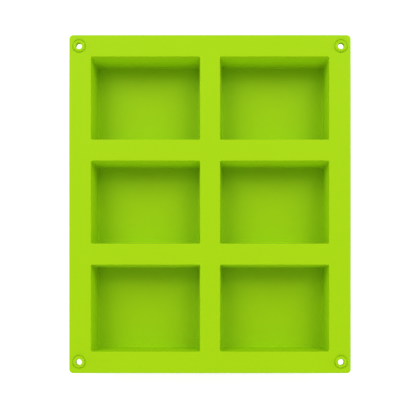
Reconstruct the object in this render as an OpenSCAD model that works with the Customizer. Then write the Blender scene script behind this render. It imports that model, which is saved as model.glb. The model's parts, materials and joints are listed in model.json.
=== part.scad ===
// Six-cavity soap mould in soft silicone: six drafted cups, each with a flat lip round
// its mouth, joined by a deck of rims and ribs with a hanging eyelet in each corner.
// X runs across the two columns, Y from the front row to the back row, Z up.
// The origin is on the surface that the cups stand on, under the middle of the deck.

/* [Cups] */
// Width of a cup's mouth, across the mould
cup_w = 83; // [70:1:95]
// Length of the mouth in the back and middle rows
cup_l = 63; // [50:1:75]
// Length of the mouth in the front row
front_cup_l = 66; // [50:1:75]
// Depth from the deck's top to the inside of a cup's floor
cup_depth = 25; // [15:1:40]
// Slope of the cup walls away from upright, in degrees
draft = 3.5; // [1:0.5:6]
// Thickness of a cup's walls and floor
wall_t = 2; // [1.5:0.1:2.2]
// Width of the flat lip round a cup's mouth
lip_w = 2.5; // [2.2:0.1:2.5]
// Radius of the upright corners inside a cup
corner_in_r = 1; // [0.9:0.1:3]
// Radius along the foot of the walls inside a cup
floor_r = 0.8; // [0.4:0.1:0.8]

/* [Deck] */
// Distance from the cups' mouths to the outer edge
border_w = 16.5; // [16.5:0.5:24]
// Distance between the mouths of the two columns
column_gap = 15; // [10:0.5:20]
// Distance between the mouths of two rows
row_gap = 16; // [10:0.5:20]
// Thickness of the deck
deck_t = 2.2; // [1.5:0.1:4]
// Radius of the deck's outer corners
corner_r = 3; // [1:0.5:6]

/* [Eyelets] */
// Diameter of the hanging hole
hole_d = 4.5; // [3.5:0.5:4.5]
// Width of the raised bead round the hole
bead_w = 2.1; // [1.5:0.1:2.1]
// Height of the bead above the deck
bead_h = 1.2; // [1.2:0.1:2.5]
// Width of the round groove outside the bead
groove_w = 0.8; // [0.4:0.1:0.8]
// Distance from the hole's centre to the side edge
hole_inset_x = 7.6; // [7:0.1:8.6]
// Distance from the hole's centre to the front or back edge
hole_inset_y = 8.6; // [7:0.1:8.6]

/* [Hidden] */

LIME = [0.69, 0.86, 0.11];
LEFT = -1;
RIGHT = 1;
FRONT = -1;
BACK = 1;

deck_w = 2 * border_w + 2 * cup_w + column_gap;
deck_l = 2 * border_w + 2 * cup_l + front_cup_l + 2 * row_gap;
deck_top = wall_t + cup_depth;
deck_bottom = deck_top - deck_t;

// Widths of the deck's own bars, which run between the cups' lips.
rim_w = border_w - lip_w;
rib_w = column_gap - 2 * lip_w;
cross_rib_w = row_gap - 2 * lip_w;

// Middles of the columns, rows and cross ribs.
column_x = (column_gap + cup_w) / 2;
front_y = -deck_l / 2 + border_w + front_cup_l / 2;
front_rib_y = front_y + (front_cup_l + row_gap) / 2;
middle_y = front_rib_y + (row_gap + cup_l) / 2;
back_rib_y = middle_y + (cup_l + row_gap) / 2;
back_y = back_rib_y + (row_gap + cup_l) / 2;

hole_r = hole_d / 2;
corner_out_r = corner_in_r + wall_t;
base_r = floor_r + wall_t;

// Flat steps in each quarter turn of a cup's corners and of its rounded foot.
corner_steps = 6;
foot_steps = 6;
arc_fn = 96;
past = 1;

// One flat bar of the deck, w across and l along, with its middle at x, y.
module bar(x, y, w, l) {
    color(LIME)
        translate([x - w / 2, y - l / 2, deck_bottom])
            cube([w, l, deck_t]);
}

module rim_across(side) {
    bar(0, side * (deck_l - rim_w) / 2, deck_w - 2 * rim_w, rim_w);
}

module rim_along(side) {
    bar(side * (deck_w - rim_w) / 2, 0, rim_w, deck_l - 2 * rim_w);
}

module centre_rib() {
    bar(0, 0, rib_w, deck_l - 2 * rim_w);
}

module cross_rib(side, y) {
    bar(side * column_x, y, cup_w + 2 * lip_w, cross_rib_w);
}

// The outline of a rectangle with round corners, as points at height z.
function round_ring(w, l, r, z) = [
    for (corner = [0:3], step = [0:corner_steps])
        let (turn = 90 * (corner + step / corner_steps),
             x = corner == 0 || corner == 3 ? 1 : -1,
             y = corner < 2 ? 1 : -1)
            [x * (w / 2 - r) + r * cos(turn), y * (l / 2 - r) + r * sin(turn), z]
];

// Rings of a tub with drafted walls and a rounded foot. It is w by l at its height h.
function tub_rings(w, l, corner, foot, h) = [
    for (step = [0:foot_steps])
        let (turn = 90 * step / foot_steps,
             tuck = foot * (1 - sin(turn)),
             inset = tan(draft) * (h - foot) + tuck)
            round_ring(w - 2 * inset, l - 2 * inset, corner - tuck, foot * (1 - cos(turn))),
    round_ring(w, l, corner, h)
];

// A solid through rings of equally many points, from the lowest ring to the highest.
module loft(rings) {
    n = len(rings[0]);
    last = len(rings) - 1;
    polyhedron(
        points = [for (ring = rings) each ring],
        faces = concat(
            [[for (i = [0:n - 1]) i]],
            [for (k = [0:last - 1], i = [0:n - 1])
                [k * n + i, (k + 1) * n + i, (k + 1) * n + (i + 1) % n, k * n + (i + 1) % n]],
            [[for (i = [n - 1:-1:0]) last * n + i]]
        )
    );
}

// One cup with its lip, from the surface that it stands on up to the deck's top.
module cup(side, y, l) {
    above = round_ring(cup_w, l, corner_in_r, cup_depth + past);
    color(LIME)
        translate([side * column_x, y, 0])
            difference() {
                union() {
                    loft(tub_rings(cup_w + 2 * wall_t, l + 2 * wall_t, corner_out_r, base_r, deck_top));
                    translate([-cup_w / 2 - lip_w, -l / 2 - lip_w, deck_bottom])
                        cube([cup_w + 2 * lip_w, l + 2 * lip_w, deck_t]);
                }
                translate([0, 0, wall_t])
                    loft(concat(tub_rings(cup_w, l, corner_in_r, floor_r, cup_depth), [above]));
            }
}

// The square of deck in one corner, with the mould's outer corner rounded.
module corner_tile(x, y) {
    inner = rim_w - corner_r;
    translate([x * deck_w / 2, y * deck_l / 2, deck_bottom])
        mirror([x > 0 ? 1 : 0, 0, 0])
            mirror([0, y > 0 ? 1 : 0, 0])
                linear_extrude(deck_t) {
                    translate([corner_r, 0])
                        square([inner, rim_w]);
                    translate([0, corner_r])
                        square([rim_w, inner]);
                    translate([corner_r, corner_r])
                        circle(corner_r, $fn = arc_fn);
                }
}

// A bead with a round top, rooted in the deck.
module bead() {
    crown_r = bead_w / 2;
    translate([0, 0, deck_top])
        rotate_extrude($fn = arc_fn) {
            translate([hole_r, -deck_t / 2])
                square([bead_w, deck_t / 2 + bead_h - crown_r]);
            translate([hole_r + crown_r, bead_h - crown_r])
                circle(crown_r, $fn = arc_fn);
        }
}

// A round-bottomed groove in the deck's top, right outside the bead.
module groove() {
    translate([0, 0, deck_top])
        rotate_extrude($fn = arc_fn)
            translate([hole_r + bead_w + groove_w / 2, 0])
                circle(groove_w / 2, $fn = arc_fn);
}

module eyelet(x, y) {
    hole = [x * (deck_w / 2 - hole_inset_x), y * (deck_l / 2 - hole_inset_y), 0];
    color(LIME)
        difference() {
            union() {
                difference() {
                    corner_tile(x, y);
                    translate(hole)
                        groove();
                }
                translate(hole)
                    bead();
            }
            translate(hole + [0, 0, deck_bottom - past])
                cylinder(r = hole_r, h = deck_t + bead_h + 2 * past, $fn = arc_fn);
        }
}

rim_across(BACK);  // rim_back
rim_across(FRONT);  // rim_front
rim_along(LEFT);  // rim_left
rim_along(RIGHT);  // rim_right

centre_rib();
cross_rib(LEFT, back_rib_y);  // cross_rib_back_left
cross_rib(RIGHT, back_rib_y);  // cross_rib_back_right
cross_rib(LEFT, front_rib_y);  // cross_rib_front_left
cross_rib(RIGHT, front_rib_y);  // cross_rib_front_right

eyelet(LEFT, BACK);  // eyelet_back_left
eyelet(RIGHT, BACK);  // eyelet_back_right
eyelet(LEFT, FRONT);  // eyelet_front_left
eyelet(RIGHT, FRONT);  // eyelet_front_right

cup(LEFT, back_y, cup_l);  // cup_back_left
cup(RIGHT, back_y, cup_l);  // cup_back_right
cup(LEFT, middle_y, cup_l);  // cup_middle_left
cup(RIGHT, middle_y, cup_l);  // cup_middle_right
cup(LEFT, front_y, front_cup_l);  // cup_front_left
cup(RIGHT, front_y, front_cup_l);  // cup_front_right
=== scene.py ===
"""The looks of a six-cavity silicone soap mould, laid out as a Blender add-on.

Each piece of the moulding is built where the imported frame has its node. Neighbouring
pieces share the same points along their seams, so the silicone reads as one skin.
"""

import json
import math

import bmesh
import bpy
from bpy.props import FloatProperty, FloatVectorProperty, IntProperty, PointerProperty
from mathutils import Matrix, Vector


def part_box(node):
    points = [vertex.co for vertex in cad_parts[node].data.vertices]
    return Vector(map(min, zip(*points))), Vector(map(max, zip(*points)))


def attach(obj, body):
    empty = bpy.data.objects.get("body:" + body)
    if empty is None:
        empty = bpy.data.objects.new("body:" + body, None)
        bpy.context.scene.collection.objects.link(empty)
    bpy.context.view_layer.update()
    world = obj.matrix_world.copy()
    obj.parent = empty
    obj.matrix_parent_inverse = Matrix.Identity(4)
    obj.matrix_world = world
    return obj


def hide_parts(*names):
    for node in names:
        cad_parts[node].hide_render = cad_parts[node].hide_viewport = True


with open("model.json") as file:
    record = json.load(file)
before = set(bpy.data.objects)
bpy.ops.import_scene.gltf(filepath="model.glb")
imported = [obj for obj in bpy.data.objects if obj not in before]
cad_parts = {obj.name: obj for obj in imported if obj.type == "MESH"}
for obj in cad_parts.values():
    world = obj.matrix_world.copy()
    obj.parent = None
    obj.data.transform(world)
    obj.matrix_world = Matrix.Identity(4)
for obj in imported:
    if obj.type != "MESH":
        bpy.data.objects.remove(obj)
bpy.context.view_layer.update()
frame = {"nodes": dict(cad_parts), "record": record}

bl_info = {
    "name": "Silicone Soap Mould",
    "version": (1, 0, 0),
    "blender": (4, 5, 0),
    "location": "View3D > Sidebar > Soap Mould",
    "description": "Builds a six-cavity soap mould in satin silicone on its packed frame",
    "category": "Add Mesh",
}

BODY = "root"
FINISH = "satin_silicone"
RIMS_ALONG = ("rim_left", "rim_right")
RIMS_ACROSS = ("rim_back", "rim_front")
CENTRE_RIB = "centre_rib"
COLUMN = (
    "cup_front_left", "cross_rib_front_left", "cup_middle_left", "cross_rib_back_left", "cup_back_left"
)
ROW = ("cup_back_left", CENTRE_RIB, "cup_back_right")
CUPS = [name for name in frame["nodes"] if name.startswith("cup_")]
CROSS_RIBS = [name for name in frame["nodes"] if name.startswith("cross_rib_")]
EYELETS = [name for name in frame["nodes"] if name.startswith("eyelet_")]
HOLES = {mount["name"]: mount for mount in frame["record"]["mounts"] if mount["kind"] == "bore"}

RIM_LOW, RIM_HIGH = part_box("rim_right")
DECK_TOP = RIM_HIGH.z
DECK_BOTTOM = RIM_LOW.z
HALF_WIDTH = RIM_HIGH.x
HALF_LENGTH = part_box("rim_back")[1].y
RIM_WIDTH = RIM_HIGH.x - RIM_LOW.x
BEAD_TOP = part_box("eyelet_back_left")[1].z
MM = 0.001


# ---------------------------------------------------------------- what a user may change


class MouldSizes(bpy.types.PropertyGroup):
    """Sizes of the moulding that the frame's boxes don't give."""

    lip: FloatProperty(
        name="Lip width", description="Flat lip round a cup's mouth", default=2.5 * MM, unit="LENGTH"
    )
    wall: FloatProperty(
        name="Wall", description="Thickness of a cup's walls and floor", default=2 * MM, unit="LENGTH"
    )
    draft: FloatProperty(
        name="Draft", description="Slope of the walls away from upright",
        default=math.radians(3.5), subtype="ANGLE",
    )
    corner: FloatProperty(
        name="Inner corner", description="Radius of the upright corners inside a cup",
        default=1 * MM, unit="LENGTH",
    )
    floor_fillet: FloatProperty(
        name="Floor fillet", description="Radius along the foot of the inner walls",
        default=0.25 * MM, unit="LENGTH",
    )
    mouth_round: FloatProperty(
        name="Mouth rounding", description="Radius of the edge where a wall meets the deck",
        default=0.35 * MM, unit="LENGTH",
    )
    root_fillet: FloatProperty(
        name="Root fillet", description="Radius where a cup hangs from the deck's underside",
        default=0.4 * MM, unit="LENGTH",
    )
    edge_round: FloatProperty(
        name="Edge rounding", description="Radius of the deck's outer edge",
        default=0.55 * MM, unit="LENGTH",
    )
    parting: FloatProperty(
        name="Parting line", description="How far the parting line stands out of the deck's edge",
        default=0.1 * MM, unit="LENGTH",
    )
    outer_corner: FloatProperty(
        name="Outer corner", description="Radius of the deck's outer corners",
        default=3 * MM, unit="LENGTH",
    )
    bead: FloatProperty(
        name="Bead width", description="Width of the raised bead round a hanging hole",
        default=2.1 * MM, unit="LENGTH",
    )
    groove: FloatProperty(
        name="Groove width", description="Width of the round-bottomed groove outside a bead",
        default=0.8 * MM, unit="LENGTH",
    )
    ripple: FloatProperty(
        name="Deck ripple", description="How far the soft deck dips below flat",
        default=0.25 * MM, unit="LENGTH",
    )
    bow: FloatProperty(
        name="Wall bow", description="How far a cup's walls lean in at their middle",
        default=0.2 * MM, unit="LENGTH",
    )
    crown: FloatProperty(
        name="Floor crown", description="How far a cup's floor lifts at its middle",
        default=0.15 * MM, unit="LENGTH",
    )


class SiliconeLook(bpy.types.PropertyGroup):
    """Colour and finish of the silicone."""

    colour: FloatVectorProperty(
        name="Colour", description="Pigmented silicone", default=(0.415, 0.675, 0.006),
        subtype="COLOR", min=0, max=1,
    )
    roughness: FloatProperty(
        name="Roughness", description="Satin finish left by the tool",
        default=0.42, subtype="FACTOR", min=0, max=1,
    )
    gloss: FloatProperty(
        name="Gloss level", description="Strength of the surface reflection",
        default=0.2, subtype="FACTOR", min=0, max=1,
    )
    mottle: FloatProperty(
        name="Mottle", description="How far the pigment varies over the surface",
        default=0.03, subtype="FACTOR", min=0, max=1,
    )
    cloud_share: FloatProperty(
        name="Cloud share", description="Part of the mottle that is broad clouds; the rest is speckle",
        default=0.7, subtype="FACTOR", min=0, max=1,
    )
    cloud_size: FloatProperty(
        name="Cloud size", description="Size of the broad clouds in the pigment",
        default=40 * MM, unit="LENGTH",
    )
    speckle_size: FloatProperty(
        name="Speckle size", description="Size of the speckle in the pigment",
        default=2.5 * MM, unit="LENGTH",
    )
    rub: FloatProperty(
        name="Rub", description="How far the roughness varies where hands have rubbed",
        default=0.08, subtype="FACTOR", min=0, max=1,
    )
    rub_size: FloatProperty(
        name="Rub size", description="Size of the rubbed patches", default=12 * MM, unit="LENGTH"
    )
    grain: FloatProperty(
        name="Grain height", description="Height of the tool's fine grain",
        default=0.02 * MM, unit="LENGTH",
    )
    grain_size: FloatProperty(
        name="Grain size", description="Size of the tool's fine grain", default=0.35 * MM, unit="LENGTH"
    )
    swell: FloatProperty(
        name="Swell", description="Height of the slow swell, in heights of the grain", default=2, min=0
    )
    swell_size: FloatProperty(
        name="Swell size", description="Size of the slow swell", default=9 * MM, unit="LENGTH"
    )


class StageLook(bpy.types.PropertyGroup):
    """Camera, lights and floor."""

    camera_height: FloatProperty(
        name="Camera height", description="Camera above the deck", default=0.556, unit="LENGTH"
    )
    camera_foot: FloatVectorProperty(
        name="Camera foot", description="Point on the deck straight below the camera",
        default=(0.0097, -0.0621), size=2, unit="LENGTH",
    )
    view_width: FloatProperty(
        name="View width", description="Width of deck that the camera takes in",
        default=0.3157, unit="LENGTH",
    )
    view_middle: FloatVectorProperty(
        name="View middle", description="Point on the deck at the middle of the view",
        default=(-0.0015, -0.0030), size=2, unit="LENGTH",
    )
    floor_colour: FloatVectorProperty(
        name="Floor colour", description="Pale paper under the mould", default=(0.5, 0.5, 0.5),
        subtype="COLOR", min=0, max=1,
    )
    floor_glow: FloatProperty(
        name="Floor glow", description="How far the paper shows lighter than it is", default=0.72, min=0
    )
    floor_radius: FloatProperty(
        name="Floor radius", description="From the mould to the paper's edge", default=2.2,
        unit="LENGTH",
    )
    floor_sides: IntProperty(
        name="Floor sides", description="Flat sides of the round floor", default=96, min=12
    )
    sky: FloatProperty(
        name="Room light", description="Strength of the white room", default=0.43, min=0
    )
    back_power: FloatProperty(
        name="Back softboxes", description="Power of each of the two tall softboxes behind, in watts",
        default=22.5, min=0,
    )
    side_power: FloatProperty(
        name="Side softboxes", description="Power of each of the two low softboxes beside, in watts",
        default=13.3, min=0,
    )
    front_power: FloatProperty(
        name="Front softbox", description="Power of the softbox in front, in watts",
        default=21.2, min=0,
    )
    light_distance: FloatProperty(
        name="Light distance", description="From the mould to each softbox", default=2.4,
        unit="LENGTH",
    )
    contrast: FloatProperty(
        name="Picture gamma", description="Below one, the picture gains contrast",
        default=0.85, min=0.5, max=1.5,
    )


# ---------------------------------------------------------------- shader building

SILICONE_IOR = 1.41
PAPER_ROUGHNESS = 0.9
PAPER_GLOSS = 0.1
# The Mix node's sockets for two colours and their result; it has others of the same names.
MIX_A, MIX_B, MIX_RESULT = 6, 7, 2


class Socket:
    """A shader value that can be written in an expression."""

    def __init__(self, shader, socket):
        self.shader = shader
        self.socket = socket

    def _maths(self, operation, first, second):
        return self.shader.node("Math", {"operation": operation}, {0: first, 1: second})

    def __add__(self, other):
        return self._maths("ADD", self, other)

    def __radd__(self, other):
        return self._maths("ADD", other, self)

    def __sub__(self, other):
        return self._maths("SUBTRACT", self, other)

    def __rsub__(self, other):
        return self._maths("SUBTRACT", other, self)

    def __mul__(self, other):
        return self._maths("MULTIPLY", self, other)

    def __rmul__(self, other):
        return self._maths("MULTIPLY", other, self)


class Shader:
    """The node tree of a material or of the room."""

    def __init__(self, owner):
        owner.use_nodes = True
        self.tree = owner.node_tree
        self.tree.nodes.clear()

    def node(self, kind, settings=None, inputs=None, output=0):
        """Adds a node, applies its settings, then fills its sockets, and returns one output."""
        made = self.tree.nodes.new("ShaderNode" + kind)
        for name, value in (settings or {}).items():
            setattr(made, name, value)
        for name, value in (inputs or {}).items():
            if isinstance(value, Socket):
                self.tree.links.new(value.socket, made.inputs[name])
            else:
                made.inputs[name].default_value = value
        return Socket(self, made.outputs[output]) if made.outputs else made

    def noise(self, place, size, detail=2.0):
        """Smooth noise from 0 to 1 whose features are about size metres across."""
        values = {"Vector": place, "Scale": 1 / size, "Detail": detail}
        return self.node("TexNoise", {}, values, output="Fac")

    def grey(self, level):
        """A colour whose three channels have one level."""
        return self.node("CombineColor", {}, {0: level, 1: level, 2: level})


def silicone(look):
    """Pigmented satin silicone: faint mottle, fine tool grain and softly varying gloss."""
    if FINISH in bpy.data.materials:
        return bpy.data.materials[FINISH]
    material = bpy.data.materials.new(FINISH)
    shader = Shader(material)
    place = shader.node("TexCoord", output="Object")

    cloud = shader.noise(place, look.cloud_size)
    speckle = shader.noise(place, look.speckle_size, detail=3.0)
    tone = 1 - look.mottle * (cloud * look.cloud_share + speckle * (1 - look.cloud_share))
    colour = shader.node(
        "Mix",
        {"data_type": "RGBA", "blend_type": "MULTIPLY"},
        {"Factor": 1.0, MIX_A: (*look.colour, 1), MIX_B: shader.grey(tone)},
        output=MIX_RESULT,
    )

    rubbed = shader.noise(place, look.rub_size, detail=4.0)
    roughness = look.roughness + look.rub * (rubbed - 0.5)

    grain = shader.noise(place, look.grain_size)
    swell = shader.noise(place, look.swell_size, detail=1.0)
    relief = shader.node(
        "Bump",
        {},
        {"Strength": 1.0, "Distance": look.grain, "Height": grain + swell * look.swell},
        output="Normal",
    )

    surface = shader.node(
        "BsdfPrincipled",
        {},
        {
            "Base Color": colour,
            "Roughness": roughness,
            "Normal": relief,
            "IOR": SILICONE_IOR,
            "Specular IOR Level": look.gloss,
        },
    )
    shader.node("OutputMaterial", {}, {"Surface": surface})
    return material


def paper(stage):
    """Pale paper that looks lit from behind, while the mould gets only what it reflects."""
    material = bpy.data.materials.new("pale_paper")
    shader = Shader(material)
    seen = shader.node("LightPath", output="Is Camera Ray")
    surface = shader.node(
        "BsdfPrincipled",
        {},
        {
            "Base Color": (*stage.floor_colour, 1),
            "Roughness": PAPER_ROUGHNESS,
            "Specular IOR Level": PAPER_GLOSS,
            "Emission Color": shader.grey(seen),
            "Emission Strength": stage.floor_glow,
        },
    )
    shader.node("OutputMaterial", {}, {"Surface": surface})
    return material


# ---------------------------------------------------------------- places that seams share

# How many parts each stretch is divided into. The first five are shared along seams.
LIP_STEPS = 3
RIB_STEPS = 4
RIM_STEPS = 16
MOUTH_STEPS = {"x": 20, "y": 16}
EDGE_STEPS = 5
FOOT_STEPS = 8
OUTER_WALL_STEPS = 8
ROOT_STEPS = 5
MOUTH_ROUND_STEPS = 6
INNER_WALL_STEPS = 10
FLOOR_FILLET_STEPS = 6
BEAD_STEPS = 12
GROOVE_STEPS = 10
CORNER_STEPS = 8
TILE_SIDE_STEPS = 10
TILE_TOP_STEPS = 4
TILE_UNDER_STEPS = 5
# Rings across a cup's floor and underside, as shares of their size, from the middle outwards.
FLOOR_RINGS = (0.2, 0.4, 0.6, 0.8, 0.95)

# Waves in the soft deck, in radians to a metre across and along, and how far each is shifted.
SLOW_WAVE, SLOW_SHIFT = (31, 27), (0.7, -0.4)
QUICK_WAVE = (44, 58)
SHARP_ANGLE = math.radians(35)


def even(low, high, steps):
    """Evenly spaced places from low to high."""
    return [low + (high - low) * i / steps for i in range(steps + 1)]


def quarter(steps):
    """Angles over a quarter turn."""
    return even(0, math.pi / 2, steps)


def stops(node, axis, lip):
    """The places along one side of a node where its neighbours have points too."""
    low, high = (getattr(corner, axis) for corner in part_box(node))
    if node in CUPS:
        ends = even(low, low + lip, LIP_STEPS), even(high - lip, high, LIP_STEPS)
        return ends[0] + even(low + lip, high - lip, MOUTH_STEPS[axis])[1:-1] + ends[1]
    return even(low, high, RIB_STEPS)


def chain(nodes, axis, lip):
    """The stops of several nodes that follow one another along an axis."""
    places = [stops(nodes[0], axis, lip)[0]]
    for node in nodes:
        places += stops(node, axis, lip)[1:]
    return places


def rim_stops(sizes):
    """Distances from the deck's outline across a rim's flat, from its inner side outwards."""
    return even(RIM_WIDTH, sizes.parting + sizes.edge_round, RIM_STEPS)


def edge_profile(sizes):
    """The deck's outer edge, top to bottom, as (distance in from the outline, height)."""
    r, ridge = sizes.edge_round, sizes.parting
    middle = (DECK_TOP + DECK_BOTTOM) / 2
    turns = quarter(EDGE_STEPS)
    upper = [(ridge + r * (1 - math.sin(t)), DECK_TOP - r * (1 - math.cos(t))) for t in turns]
    lower = [(inset, 2 * middle - z) for inset, z in reversed(upper)]
    line = [(ridge, middle + ridge), (0.0, middle), (ridge, middle - ridge)]
    return upper + line + lower


def settle(point, sizes):
    """Lets a point of the soft deck dip a little, and holds the cups' undersides flat."""
    x, y, z = point
    slow = math.sin(SLOW_WAVE[0] * x + SLOW_SHIFT[0]) * math.cos(SLOW_WAVE[1] * y + SLOW_SHIFT[1])
    quick = math.sin(QUICK_WAVE[0] * x + QUICK_WAVE[1] * y)
    # The two waves together stay within half of the ripple, up and down.
    dip = sizes.ripple * (0.5 + slow / 3 + quick / 6)
    return Vector((x, y, z - dip * (z / DECK_TOP) ** 2))


# ---------------------------------------------------------------- mesh building


def piece(node, rings, sizes, closed=False, flat_ends=False):
    """Skins rings of equally many points, and puts the piece in its CAD node's place.

    If closed, the last ring joins the first. Otherwise each end is closed over.
    """
    mesh = bmesh.new()
    loops = [[mesh.verts.new(settle(p, sizes)) for p in ring] for ring in rings]
    pairs = list(zip(loops, loops[1:] + loops[:1] if closed else loops[1:]))
    for lower, upper in pairs:
        count = len(lower)
        for i in range(count):
            j = (i + 1) % count
            mesh.faces.new((lower[i], lower[j], upper[j], upper[i]))
    if not closed:
        for loop in (loops[0], loops[-1]):
            close_end(mesh, loop, flat_ends)
    bmesh.ops.recalc_face_normals(mesh, faces=mesh.faces)

    made = bpy.data.meshes.new(node + "_moulding")
    mesh.to_mesh(made)
    mesh.free()
    made.shade_smooth()
    made.set_sharp_from_angle(angle=SHARP_ANGLE)
    made.materials.append(silicone(bpy.context.scene.silicone_look))

    moulding = bpy.data.objects.new(node + "_moulding", made)
    bpy.context.scene.collection.objects.link(moulding)
    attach(moulding, BODY)
    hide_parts(node)
    return moulding


def close_end(mesh, loop, flat):
    """Closes a loop with one flat face, or with a fan round its middle."""
    if flat:
        mesh.faces.new(loop)
        return
    middle = mesh.verts.new(sum((v.co for v in loop), Vector()) / len(loop))
    for i, vert in enumerate(loop):
        mesh.faces.new((vert, loop[(i + 1) % len(loop)], middle))


def outline(half_x, half_y, radius, square=False):
    """Points round a rectangle, anticlockwise, with round corners or, if square, sharp ones."""
    points = []
    inner_x, inner_y = half_x - radius, half_y - radius
    corners = [(inner_x, inner_y), (-inner_x, inner_y), (-inner_x, -inner_y), (inner_x, -inner_y)]
    for turn, (x, y) in enumerate(corners):
        steps = MOUTH_STEPS["y" if turn % 2 else "x"]
        u = Vector((math.cos(turn * math.pi / 2), math.sin(turn * math.pi / 2)))
        v = Vector((-u.y, u.x))
        for step in range(2 * LIP_STEPS + 1):
            angle = math.pi / 4 * step / LIP_STEPS
            along_u = min(1, 2 - step / LIP_STEPS) if square else math.cos(angle)
            along_v = min(1, step / LIP_STEPS) if square else math.sin(angle)
            points.append(Vector((x, y)) + radius * (along_u * u + along_v * v))
        start, end = points[-1], Vector(corners[(turn + 1) % 4]) + radius * v
        points += [start.lerp(end, i / steps) for i in range(1, steps)]
    return points


def cup(node, sizes):
    """One cup: its underside, outer walls, flat lip, mouth, inner walls and floor."""
    low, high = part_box(node)
    centre = (low + high) / 2
    mouth_x, mouth_y = ((high - low) / 2).xy - Vector((sizes.lip, sizes.lip))
    slope = math.tan(sizes.draft)
    foot = sizes.floor_fillet + sizes.wall
    outer = sizes.corner + sizes.wall
    rings = []

    def ring(grow, radius, z, scale=1.0, square=False):
        """One ring, grow metres outside the mouth's outline."""
        points = outline(mouth_x + grow, mouth_y + grow, radius, square)
        lean = 0 if square else math.sin(math.pi * min(z / DECK_TOP, 1))
        lift = sizes.crown if scale < 1 else 0
        placed = []
        for p in points:
            x, y = p * scale
            across = math.cos(math.pi / 2 * y / (mouth_y + grow))
            along = math.cos(math.pi / 2 * x / (mouth_x + grow))
            push = 1 - sizes.bow * lean * across / mouth_x, 1 - sizes.bow * lean * along / mouth_y
            placed.append((centre.x + x * push[0], centre.y + y * push[1], z + lift * across * along))
        rings.append(placed)

    def wall_at(z):
        """How far the inner face of a wall lies inside the mouth at a height."""
        return -slope * (DECK_TOP - z)

    sole = wall_at(foot) + sizes.wall - foot
    for scale in FLOOR_RINGS:
        ring(sole, outer - foot, 0, scale)
    for t in quarter(FOOT_STEPS):
        tuck = foot * (1 - math.sin(t))
        ring(wall_at(foot) + sizes.wall - tuck, outer - tuck, foot * (1 - math.cos(t)))
    root = DECK_BOTTOM - sizes.root_fillet
    for z in even(foot, root, OUTER_WALL_STEPS)[1:-1]:
        ring(wall_at(z) + sizes.wall, outer, z)
    for t in quarter(ROOT_STEPS):
        flare = sizes.root_fillet * (1 - math.cos(t))
        ring(wall_at(root) + sizes.wall + flare, outer + flare, root + sizes.root_fillet * math.sin(t))
    ring(sizes.lip, sizes.lip, DECK_BOTTOM, square=True)
    ring(sizes.lip, sizes.lip, DECK_TOP, square=True)
    for t in quarter(MOUTH_ROUND_STEPS):
        roll = sizes.mouth_round * (1 - math.sin(t))
        ring(roll, sizes.corner + roll, DECK_TOP - sizes.mouth_round * (1 - math.cos(t)))
    for z in even(DECK_TOP - sizes.mouth_round, foot, INNER_WALL_STEPS)[1:]:
        ring(wall_at(z), sizes.corner, z)
    for t in quarter(FLOOR_FILLET_STEPS)[1:]:
        tuck = sizes.floor_fillet * (1 - math.cos(t))
        ring(wall_at(foot) - tuck, sizes.corner - tuck, foot - sizes.floor_fillet * math.sin(t))
    bed = wall_at(foot) - sizes.floor_fillet
    for scale in reversed(FLOOR_RINGS):
        ring(bed, sizes.corner - sizes.floor_fillet, sizes.wall, scale)
    return piece(node, rings, sizes)


def rim(node, sizes):
    """One outer rim of the deck, swept along its length with a rounded outer edge."""
    along_y = node in RIMS_ALONG
    low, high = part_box(node)
    if along_y:
        half, middle, places = HALF_WIDTH, (low + high).x, chain(COLUMN, "y", sizes.lip)
    else:
        half, middle, places = HALF_LENGTH, (low + high).y, chain(ROW, "x", sizes.lip)
    side = math.copysign(1, middle)
    flats = rim_stops(sizes)[:-1]
    section = [(inset, DECK_TOP) for inset in flats] + edge_profile(sizes)
    section += [(inset, DECK_BOTTOM) for inset in reversed(flats)]
    rings = []
    for place in places:
        across = [(side * (half - inset), z) for inset, z in section]
        rings.append([(a, place, z) if along_y else (place, a, z) for a, z in across])
    return piece(node, rings, sizes, flat_ends=True)


def rib(node, sizes):
    """One flat rib of the deck between the lips of the cups."""
    low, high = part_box(node)
    if node == CENTRE_RIB:
        places, across = chain(COLUMN, "y", sizes.lip), "x"
    else:
        side = node.rsplit("_", 1)[1]
        places, across = stops("cup_back_" + side, "x", sizes.lip), "y"
    widths = even(getattr(low, across), getattr(high, across), RIB_STEPS)
    section = [(w, DECK_TOP) for w in widths] + [(w, DECK_BOTTOM) for w in reversed(widths)]
    rings = [
        [(w, place, z) if across == "x" else (place, w, z) for w, z in section] for place in places
    ]
    return piece(node, rings, sizes, flat_ends=True)


def tile_border(side_x, side_y, sizes):
    """A corner tile's outline as (point, outward direction); seams have no direction."""
    radius = sizes.outer_corner
    inner_x, inner_y = HALF_WIDTH - RIM_WIDTH, HALF_LENGTH - RIM_WIDTH
    flats = rim_stops(sizes)[:-1]
    still = Vector((0, 0))
    border = [(Vector((HALF_WIDTH - inset, inner_y)), still) for inset in flats]
    for y in even(inner_y, HALF_LENGTH - radius, TILE_SIDE_STEPS)[:-1]:
        border.append((Vector((HALF_WIDTH, y)), Vector((1, 0))))
    for t in quarter(CORNER_STEPS):
        out = Vector((math.cos(t), math.sin(t)))
        border.append((Vector((HALF_WIDTH - radius, HALF_LENGTH - radius)) + radius * out, out))
    for x in even(HALF_WIDTH - radius, inner_x, TILE_SIDE_STEPS)[1:]:
        border.append((Vector((x, HALF_LENGTH)), Vector((0, 1))))
    border += [(Vector((inner_x, HALF_LENGTH - inset)), still) for inset in reversed(flats[1:])]
    flip = Vector((side_x, side_y))
    return [(point * flip, out * flip) for point, out in border]


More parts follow.
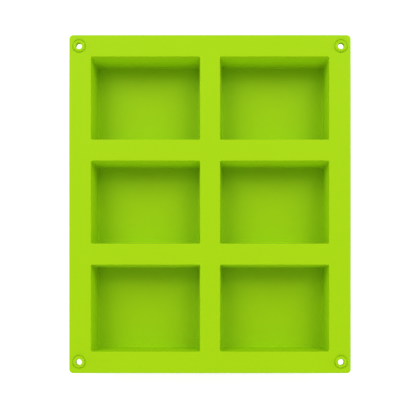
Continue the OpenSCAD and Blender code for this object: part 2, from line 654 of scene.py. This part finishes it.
def eyelet(node, sizes):
    """One corner of the deck with its hole, and a bead and a groove about the hole."""
    mount = HOLES[node.replace("eyelet", "hanging_hole")]
    centre = Vector(mount["pos_m"][:2])
    hole = mount["dims"]["r_mm"] * MM
    border = tile_border(math.copysign(1, centre.x), math.copysign(1, centre.y), sizes)
    profile = edge_profile(sizes)
    start = profile[0][0]
    top_edge = [point - out * start for point, out in border]
    rays = [(point - centre).normalized() for point in top_edge]
    rings = []

    def round_ring(radius, z):
        """One ring of points about the hole."""
        rings.append([(*(centre + ray * radius), z) for ray in rays])

    def spread(radius, z, shares):
        """Rings between a circle about the hole and the tile's edge, at shares of the way."""
        for share in shares:
            flat = [(centre + ray * radius).lerp(p, share) for ray, p in zip(rays, top_edge)]
            rings.append([(*p, z) for p in flat])

    crown = sizes.bead / 2
    shoulder = BEAD_TOP - crown
    round_ring(hole, DECK_BOTTOM)
    round_ring(hole, (DECK_BOTTOM + DECK_TOP) / 2)
    for t in even(0, math.pi, BEAD_STEPS):
        round_ring(hole + crown * (1 - math.cos(t)), shoulder + crown * math.sin(t))
    foot, trough = hole + sizes.bead, sizes.groove / 2
    for t in even(0, math.pi, GROOVE_STEPS):
        round_ring(foot + trough * (1 - math.cos(t)), DECK_TOP - trough * math.sin(t))
    spread(foot + sizes.groove, DECK_TOP, even(0, 1, TILE_TOP_STEPS)[1:-1])
    for inset, z in profile:
        rings.append([(*(point - out * inset), z) for point, out in border])
    spread(hole, DECK_BOTTOM, even(1, 0, TILE_UNDER_STEPS)[1:-1])
    return piece(node, rings, sizes, closed=True)


# ---------------------------------------------------------------- stage

# Width and height of the two kinds of softbox, in metres.
TALL_BOX = (1.1, 1.65)
LOW_BOX = (1.1, 0.8)
# Width of the camera's sensor, in millimetres.
SENSOR_WIDTH = 36


def softbox(name, azimuth, elevation, size, watts, distance):
    """A white area light that faces the mould; azimuth 0 is behind it, and 90 to its right."""
    data = bpy.data.lights.new(name, "AREA")
    data.shape = "RECTANGLE"
    data.size, data.size_y = size
    data.energy = watts
    light = bpy.data.objects.new(name, data)
    turn, rise = math.radians(azimuth), math.radians(elevation)
    away = Vector((math.sin(turn) * math.cos(rise), math.cos(turn) * math.cos(rise), math.sin(rise)))
    light.location = distance * away
    light.rotation_euler = away.to_track_quat("Z", "Y").to_euler()
    light.visible_camera = False
    bpy.context.scene.collection.objects.link(light)
    return light


def softboxes(stage):
    """Two tall softboxes behind, and low ones beside and in front."""
    reach = stage.light_distance
    softbox("back_left_softbox", -45, 45, TALL_BOX, stage.back_power, reach)
    softbox("back_right_softbox", 45, 45, TALL_BOX, stage.back_power, reach)
    softbox("left_softbox", -90, 10, LOW_BOX, stage.side_power, reach)
    softbox("right_softbox", 90, 10, LOW_BOX, stage.side_power, reach)
    softbox("front_softbox", 180, 20, LOW_BOX, stage.front_power, reach)


def camera(stage):
    """A camera that looks straight down, slid sideways in its mount to frame the mould."""
    data = bpy.data.cameras.new("camera")
    data.sensor_width = SENSOR_WIDTH
    data.lens = SENSOR_WIDTH * stage.camera_height / stage.view_width
    data.shift_x = (stage.view_middle[0] - stage.camera_foot[0]) / stage.view_width
    data.shift_y = (stage.view_middle[1] - stage.camera_foot[1]) / stage.view_width
    made = bpy.data.objects.new("camera", data)
    made.location = (*stage.camera_foot, DECK_TOP + stage.camera_height)
    bpy.context.scene.collection.objects.link(made)
    bpy.context.scene.camera = made
    return made


def floor(stage):
    """A round floor of pale paper under the cups."""
    mesh = bmesh.new()
    bmesh.ops.create_circle(mesh, cap_ends=True, segments=stage.floor_sides, radius=stage.floor_radius)
    made = bpy.data.meshes.new("floor")
    mesh.to_mesh(made)
    mesh.free()
    made.materials.append(paper(stage))
    ground = bpy.data.objects.new("floor", made)
    bpy.context.scene.collection.objects.link(ground)
    return ground


def room(stage):
    """A plain white room round the stage, which lights the mould less than it shows."""
    world = bpy.data.worlds.new("white_room")
    shader = Shader(world)
    seen = shader.node("LightPath", output="Is Camera Ray")
    strength = stage.sky + seen * (1 - stage.sky)
    background = shader.node("Background", {}, {"Color": (1, 1, 1, 1), "Strength": strength})
    shader.node("OutputWorld", {}, {"Surface": background})
    bpy.context.scene.world = world


# ---------------------------------------------------------------- operators


class SOAPMOULD_OT_rims(bpy.types.Operator):
    """Builds the four rims round the deck"""

    bl_idname = "soap_mould.rims"
    bl_label = "Rims"

    def execute(self, context):
        for node in RIMS_ALONG + RIMS_ACROSS:
            rim(node, context.scene.mould_sizes)
        return {"FINISHED"}


class SOAPMOULD_OT_ribs(bpy.types.Operator):
    """Builds the centre rib and the ribs between the rows"""

    bl_idname = "soap_mould.ribs"
    bl_label = "Ribs"

    def execute(self, context):
        for node in [CENTRE_RIB, *CROSS_RIBS]:
            rib(node, context.scene.mould_sizes)
        return {"FINISHED"}


class SOAPMOULD_OT_eyelets(bpy.types.Operator):
    """Builds the four corners with their beaded hanging holes"""

    bl_idname = "soap_mould.eyelets"
    bl_label = "Eyelets"

    def execute(self, context):
        for node in EYELETS:
            eyelet(node, context.scene.mould_sizes)
        return {"FINISHED"}


class SOAPMOULD_OT_cups(bpy.types.Operator):
    """Builds the six cups with their lips"""

    bl_idname = "soap_mould.cups"
    bl_label = "Cups"

    def execute(self, context):
        for node in CUPS:
            cup(node, context.scene.mould_sizes)
        return {"FINISHED"}


class SOAPMOULD_OT_stage(bpy.types.Operator):
    """Sets the camera, the softboxes, the white room and the pale floor"""

    bl_idname = "soap_mould.stage"
    bl_label = "Stage"

    def execute(self, context):
        stage = context.scene.stage_look
        camera(stage)
        floor(stage)
        room(stage)
        softboxes(stage)
        context.scene.view_settings.view_transform = "Standard"
        context.scene.view_settings.gamma = stage.contrast
        return {"FINISHED"}


class SOAPMOULD_PT_panel(bpy.types.Panel):
    """The mould's pieces, sizes and finish in the 3D view's sidebar"""

    bl_idname = "SOAPMOULD_PT_panel"
    bl_label = "Soap Mould"
    bl_space_type = "VIEW_3D"
    bl_region_type = "UI"
    bl_category = "Soap Mould"

    def draw(self, context):
        for operator in OPERATORS:
            self.layout.operator(operator.bl_idname)
        for group in (context.scene.mould_sizes, context.scene.silicone_look, context.scene.stage_look):
            box = self.layout.box()
            for name in group.__annotations__:
                box.prop(group, name)


GROUPS = {"mould_sizes": MouldSizes, "silicone_look": SiliconeLook, "stage_look": StageLook}
OPERATORS = (
    SOAPMOULD_OT_stage,
    SOAPMOULD_OT_rims,
    SOAPMOULD_OT_ribs,
    SOAPMOULD_OT_eyelets,
    SOAPMOULD_OT_cups,
)
CLASSES = (*GROUPS.values(), *OPERATORS, SOAPMOULD_PT_panel)


def register():
    """Registers the classes, and gives each scene its sizes and looks."""
    for cls in CLASSES:
        bpy.utils.register_class(cls)
    for name, group in GROUPS.items():
        setattr(bpy.types.Scene, name, PointerProperty(type=group))


def unregister():
    """Takes the sizes and looks away again, and the classes."""
    for name in GROUPS:
        delattr(bpy.types.Scene, name)
    for cls in reversed(CLASSES):
        bpy.utils.unregister_class(cls)


def main():
    register()
    bpy.ops.soap_mould.stage()
    bpy.ops.soap_mould.rims()
    bpy.ops.soap_mould.ribs()
    bpy.ops.soap_mould.eyelets()
    bpy.ops.soap_mould.cups()


if __name__ == "__main__":
    main()
